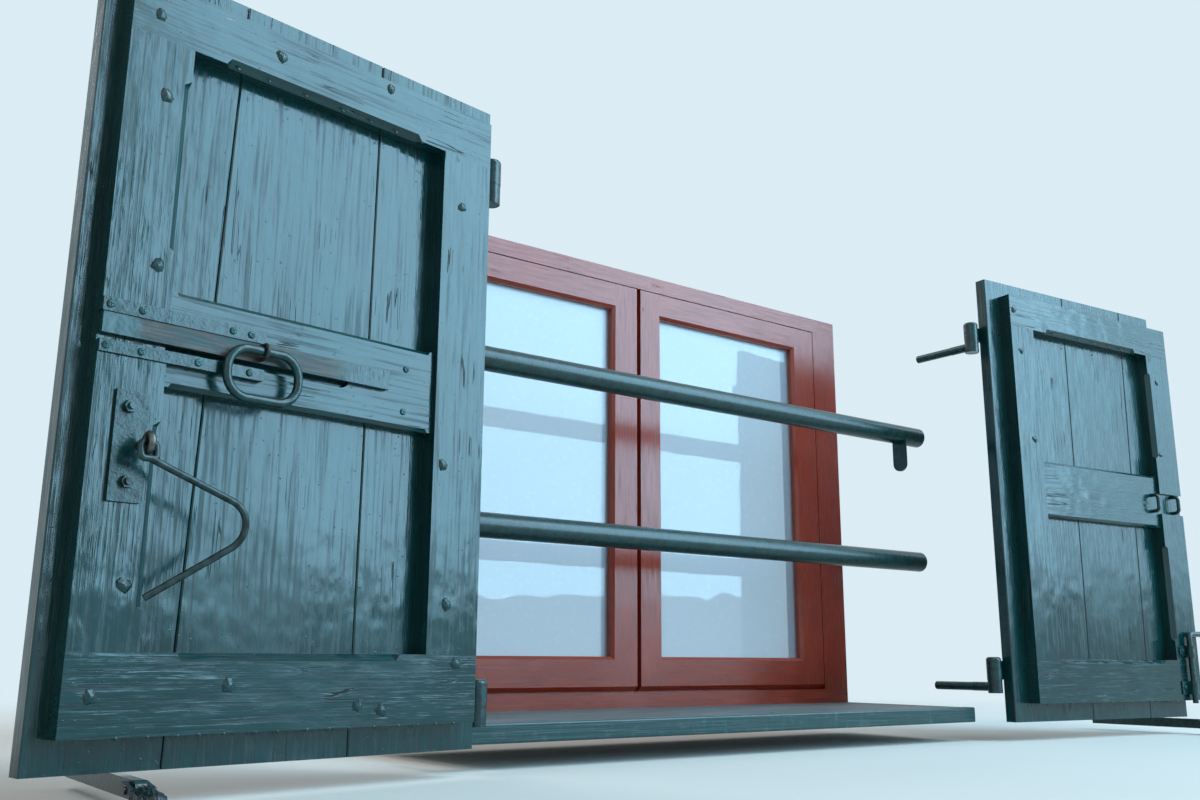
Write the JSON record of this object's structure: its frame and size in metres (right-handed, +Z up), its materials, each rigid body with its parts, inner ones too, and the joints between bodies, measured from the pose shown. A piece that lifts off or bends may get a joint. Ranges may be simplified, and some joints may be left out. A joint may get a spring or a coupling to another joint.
{
  "type": "window shutters",
  "caption": "Boarded painted window shutters on strap hinges and pintles, with slide bar, ring, hook, drop bolt and holdbacks, before a small casement window with round bars and a sill",
  "frame": {"origin": "under the sill, on the wall's outer face, in the middle of the opening", "axes": "+X right along the wall seen from outside, +Y into the wall, +Z up"},
  "size_m": [2.4682, 0.6628, 0.9767],
  "materials": {
    "shutter_paint": "teal green gloss paint over weathered boards",
    "iron_paint": "the same teal paint brushed over forged iron",
    "worn_iron": "forged iron worn bare and slightly rusted",
    "screw_zinc": "cross-head screws, painted over",
    "sill_paint": "weathered grey top and green painted nose",
    "window_paint": "red-brown paint, satin",
    "window_hardware": "plain steel",
    "window_glass": "clear float glass"
  },
  "bodies": {
    "root": {"sill": "sill_paint", "window_bottom_rail": "window_paint", "window_head": "window_paint", "window_jamb_left": "window_paint", "window_jamb_right": "window_paint", "casement_hinge_pins": "window_hardware", "upper_bar": "iron_paint", "lower_bar": "iron_paint", "left_pintles": "iron_paint", "right_pintles": "iron_paint", "left_dog_bracket": "iron_paint", "right_dog_bracket": "iron_paint"},
    "left_leaf": {"left_boards": "shutter_paint", "left_top_rail": "shutter_paint", "left_bottom_rail": "shutter_paint", "left_mid_rail": "shutter_paint", "left_hinge_stile": "shutter_paint", "left_free_stile": "shutter_paint", "left_nails": "iron_paint", "left_straps": "iron_paint", "upper_guide": "iron_paint", "lower_guide": "iron_paint", "guide_screws": "screw_zinc", "eye_plate": "iron_paint", "plate_bolts": "iron_paint", "eye_bolt": "worn_iron"},
    "right_leaf": {"right_boards": "shutter_paint", "right_top_rail": "shutter_paint", "right_bottom_rail": "shutter_paint", "right_mid_rail": "shutter_paint", "right_hinge_stile": "shutter_paint", "right_free_stile": "shutter_paint", "right_nails": "iron_paint", "right_straps": "iron_paint", "keepers": "iron_paint", "bolt_clips": "iron_paint", "clip_screws": "screw_zinc"},
    "left_casement": {"left_casement_hinge_stile": "window_paint", "left_casement_meeting_stile": "window_paint", "left_casement_bottom_rail": "window_paint", "left_casement_top_rail": "window_paint", "left_casement_glass": "window_glass", "left_casement_bead": "window_paint", "left_casement_knuckles": "window_hardware"},
    "right_casement": {"right_casement_hinge_stile": "window_paint", "right_casement_meeting_stile": "window_paint", "right_casement_bottom_rail": "window_paint", "right_casement_top_rail": "window_paint", "right_casement_glass": "window_glass", "right_casement_bead": "window_paint", "right_casement_knuckles": "window_hardware", "handle_rose": "window_hardware"},
    "casement_handle": {"handle_lever": "window_hardware"},
    "slide_bar": {"slide_bar": "iron_paint"},
    "ring": {"ring": "iron_paint"},
    "hook": {"hook": "iron_paint"},
    "drop_bolt": {"drop_bolt": "iron_paint"},
    "left_dog": {"left_dog": "iron_paint"},
    "right_dog": {"right_dog": "iron_paint"}
  },
  "joints": [
    {"name": "left_leaf_hinge", "type": "hinge", "parent": "root", "child": "left_leaf", "pos_m": [-0.614, -0.052, 0.47], "axis": [0, 0, 1], "range_deg": [0, 171]},
    {"name": "right_leaf_hinge", "type": "hinge", "parent": "root", "child": "right_leaf", "pos_m": [0.614, -0.052, 0.45], "axis": [0, 0, -1], "range_deg": [0, 174.12]},
    {"name": "left_casement_hinge", "type": "hinge", "parent": "root", "child": "left_casement", "pos_m": [-0.501, 0.3535, 0.475], "axis": [0, 0, 1], "range_deg": [0, 90]},
    {"name": "right_casement_hinge", "type": "hinge", "parent": "root", "child": "right_casement", "pos_m": [0.501, 0.3535, 0.475], "axis": [0, 0, -1], "range_deg": [0, 90]},
    {"name": "casement_handle_turn", "type": "hinge", "parent": "right_casement", "child": "casement_handle", "pos_m": [-0.0035, 0.352, 0.48], "axis": [0, -1, 0], "range_deg": [0, 90]},
    {"name": "slide_bar_slide", "type": "slide", "parent": "left_leaf", "child": "slide_bar", "axis": [-0.9878, -0.1557, 0], "range_m": [0, 0.142]},
    {"name": "ring_swing", "type": "hinge", "parent": "slide_bar", "child": "ring", "pos_m": [-0.99816, -0.17736, 0.4793], "axis": [0.9878, 0.1557, 0], "range_deg": [-120, 0]},
    {"name": "hook_swing", "type": "hinge", "parent": "left_leaf", "child": "hook", "pos_m": [-1.13298, -0.21482, 0.347], "axis": [0.9878, 0.1557, 0], "range_deg": [-100, 0]},
    {"name": "drop_bolt_slide", "type": "slide", "parent": "right_leaf", "child": "drop_bolt", "axis": [0, 0, -1], "range_m": [0, 0.017]},
    {"name": "left_dog_tilt", "type": "hinge", "parent": "root", "child": "left_dog", "pos_m": [-1.10672, -0.20156, -0.0145], "axis": [-1, 0, 0], "range_deg": [0, 98]},
    {"name": "right_dog_tilt", "type": "hinge", "parent": "root", "child": "right_dog", "pos_m": [1.21352, -0.18512, -0.0145], "axis": [-1, 0, 0], "range_deg": [0, 98]}
  ]
}
